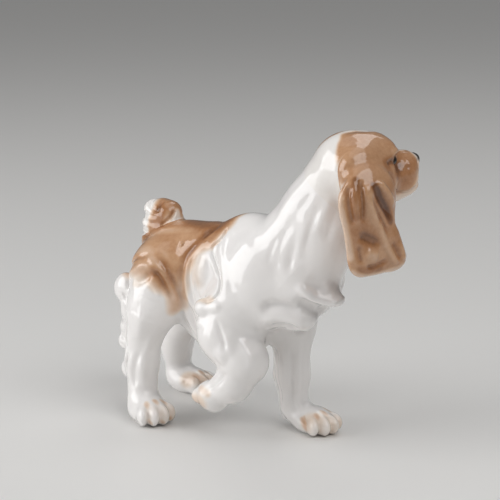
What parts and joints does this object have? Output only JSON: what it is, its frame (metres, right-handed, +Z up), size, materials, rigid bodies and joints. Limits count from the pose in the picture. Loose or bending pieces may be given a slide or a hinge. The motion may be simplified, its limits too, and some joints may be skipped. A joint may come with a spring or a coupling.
{
  "type": "ceramic dog figurine",
  "caption": "Hollow glazed ceramic figurine of a standing long-eared spaniel, head turned to its left and one foreleg lifted, resting on its standing paws.",
  "frame": {"origin": "on the floor the soles stand on, under the middle of the figure's bounding box", "axes": "+X the way the chest faces, +Y the dog's left, +Z up"},
  "size_m": [0.1588, 0.0722, 0.1454],
  "materials": {
    "white_glaze": "white porcelain under clear gloss glaze",
    "tan_glaze": "sprayed tan underglaze colour under clear gloss glaze"
  },
  "bodies": {
    "root": {"torso": "white_glaze", "head": "tan_glaze", "ear_right": "tan_glaze", "ear_left": "tan_glaze", "foreleg_right": "white_glaze", "foreleg_left": "white_glaze", "hind_leg_right": "white_glaze", "hind_leg_left": "white_glaze", "tail": "tan_glaze"}
  },
  "joints": []
}
